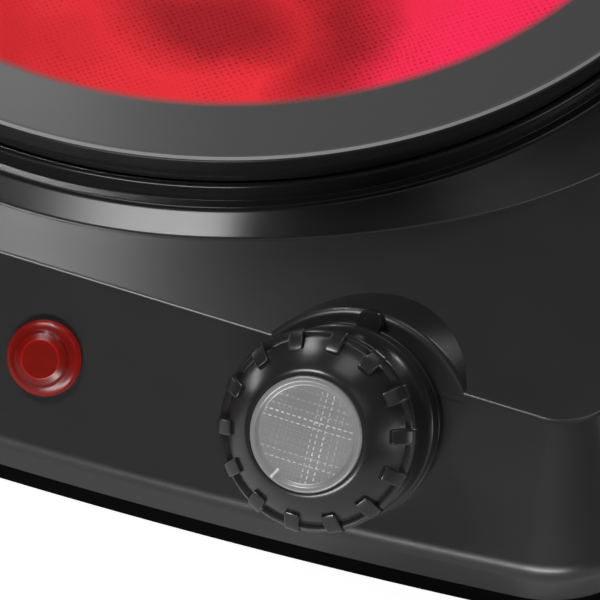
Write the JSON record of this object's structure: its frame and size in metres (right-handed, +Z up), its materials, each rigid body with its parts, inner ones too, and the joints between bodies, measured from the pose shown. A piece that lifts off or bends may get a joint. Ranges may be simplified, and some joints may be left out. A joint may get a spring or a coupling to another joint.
{
  "type": "hot plate burner",
  "caption": "Square black infrared hot plate with a round glass cooking plate, a sloping control panel, a ribbed turning knob and a red pilot lamp.",
  "frame": {"origin": "centre of the bounding box at the bottom of the feet, on the surface that the burner stands on", "axes": "+X to the user's right, +Y to the rear where the mains inlet is, +Z up; the control panel faces -Y and up"},
  "size_m": [0.242, 0.2641, 0.058],
  "materials": {
    "housing_black": "satin gloss black enamel look",
    "base_black": "matt black",
    "knob_black": "gloss black moulding",
    "knob_silver": "satin silver cap with a fine cross-hatch",
    "plate_glass": "dark glass ceramic, glowing red over the heater",
    "trim_black": "gloss black",
    "seal_grey": "heat resistant silicone",
    "steel": "zinc plated",
    "aluminised_steel": "aluminised sheet",
    "insulation": "pressed mineral insulation",
    "element_alloy": "oxidised resistance ribbon",
    "ceramic": "unglazed steatite",
    "phenolic": "phenolic moulding",
    "lamp_red": "translucent red lens",
    "lamp_glass": "clear neon bulb",
    "rubber": "matt black rubber",
    "lead_sleeve": "glass fibre sleeving"
  },
  "bodies": {
    "burner": {"base_pan": "base_black", "base_screw_left_front": "steel", "base_screw_left_rear": "steel", "base_screw_right_front": "steel", "base_screw_right_rear": "steel", "bracket_screw_1": "steel", "bracket_screw_2": "steel", "bracket_screw_3": "steel", "cord_gland": "rubber", "dial_seat": "knob_black", "earth_screw": "steel", "foot_left_front": "rubber", "foot_left_rear": "rubber", "foot_right_front": "rubber", "foot_right_rear": "rubber", "gland_nut": "phenolic", "glass_plate": "plate_glass", "glass_seal": "seal_grey", "heat_shield": "aluminised_steel", "heater_bracket_1": "steel", "heater_bracket_2": "steel", "heater_bracket_3": "steel", "heater_dish": "aluminised_steel", "heater_lead": "lead_sleeve", "heater_tab_live": "steel", "heater_tab_neutral": "steel", "heater_terminal_block": "ceramic", "heating_element": "element_alloy", "insulation_base": "insulation", "insulation_ring": "insulation", "live_lead": "lead_sleeve", "neutral_lead": "lead_sleeve", "pilot_clip": "steel", "pilot_holder": "phenolic", "pilot_lamp": "lamp_glass", "pilot_lead": "lead_sleeve", "pilot_lens": "lamp_red", "plate_carrier": "trim_black", "regulator_body": "phenolic", "regulator_screw_left": "steel", "regulator_screw_right": "steel", "shield_spacer_1": "steel", "shield_spacer_2": "steel", "shield_spacer_3": "steel", "terminal_block": "ceramic", "thermal_cutout": "phenolic", "top_housing": "housing_black", "trim_ring": "trim_black"},
    "knob": {"knob_body": "knob_black", "knob_cap": "knob_silver", "knob_spring": "steel", "regulator_shaft": "steel"}
  },
  "joints": [
    {"name": "knob_turn", "type": "hinge", "parent": "burner", "child": "knob", "pos_m": [0.0656, -0.10727, 0.03238], "axis": [0, 0.7771, -0.6293], "range_deg": [-225, 75]}
  ]
}
